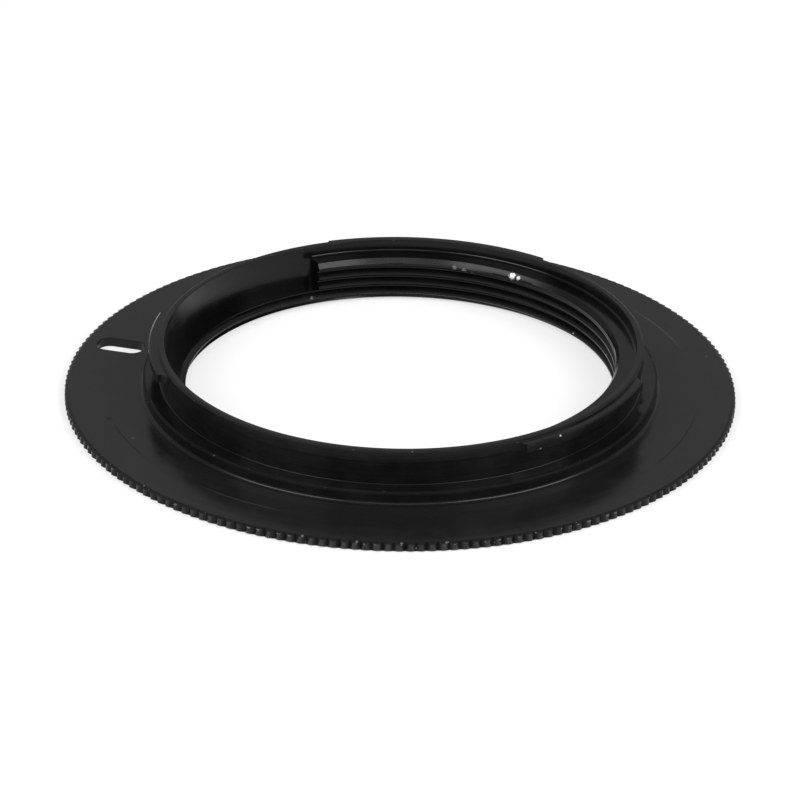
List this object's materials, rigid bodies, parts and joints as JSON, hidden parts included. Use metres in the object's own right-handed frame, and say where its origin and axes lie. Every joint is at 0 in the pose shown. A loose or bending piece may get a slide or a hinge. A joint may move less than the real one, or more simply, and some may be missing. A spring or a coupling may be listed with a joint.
{
  "type": "lens mount adapter",
  "caption": "Flat adapter ring with a knurled flange, lock-pin slot, bayonet lugs and a threaded bore, for mounting a screw-thread lens on a bayonet camera.",
  "frame": {"origin": "on the ring's axis, in the plane of the bottom face that the lens seats against", "axes": "+Z along the bore axis towards the camera, the bayonet side; +Y away from the camera that took the picture; the lock-pin slot lies near -X"},
  "size_m": [0.064, 0.064, 0.0057],
  "materials": {
    "black_anodised": "turned and milled aluminium, black anodised, semi-gloss, slightly worn on the edges"
  },
  "bodies": {
    "root": {"adapter_ring": "black_anodised"}
  },
  "joints": []
}
